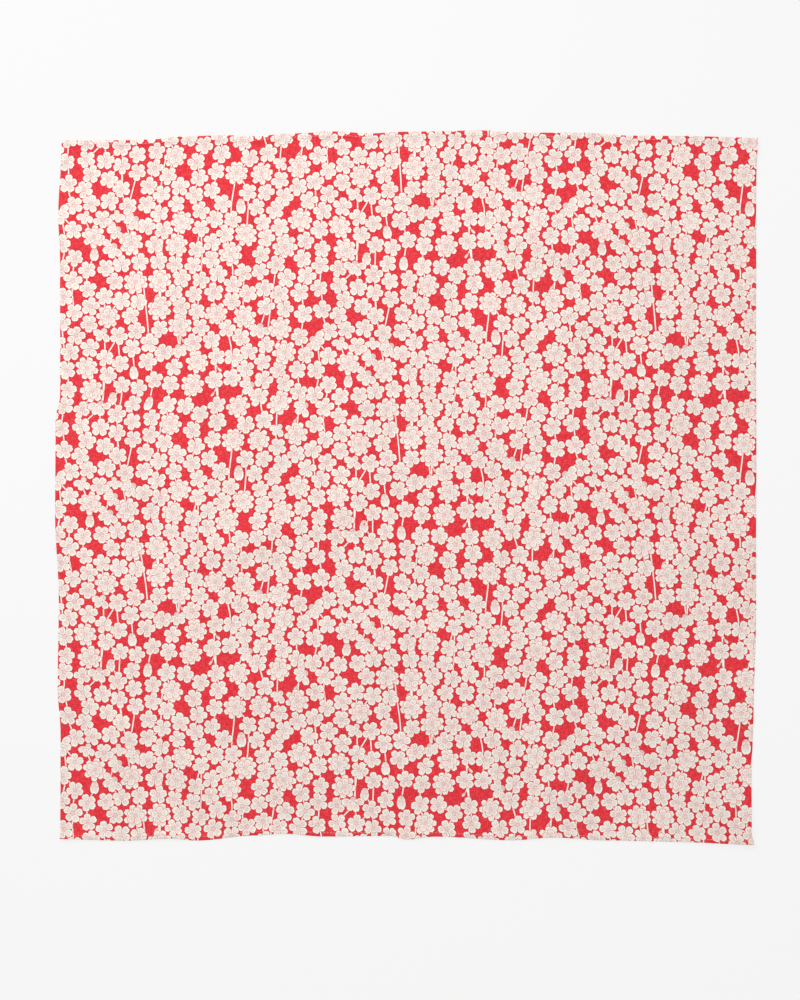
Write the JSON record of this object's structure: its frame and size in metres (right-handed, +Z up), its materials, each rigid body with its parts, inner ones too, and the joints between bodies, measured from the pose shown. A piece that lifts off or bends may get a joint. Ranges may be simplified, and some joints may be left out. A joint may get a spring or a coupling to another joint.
{
  "type": "furoshiki wrapping cloth",
  "caption": "Square printed cotton wrapping cloth with turned hems and woven side edges, opened out and lying flat with gently waving edges.",
  "frame": {"origin": "on the surface that the cloth lies on, under the middle of its box", "axes": "+Z up out of the printed face, +Y towards the top hem of the print, +X towards the right side edge"},
  "size_m": [0.7016, 0.713, 0.0079],
  "materials": {
    "printed_cotton": "matte slubby plain-weave cotton printed with cream and blush blossoms on red"
  },
  "bodies": {
    "root": {"cloth": "printed_cotton"}
  },
  "joints": []
}
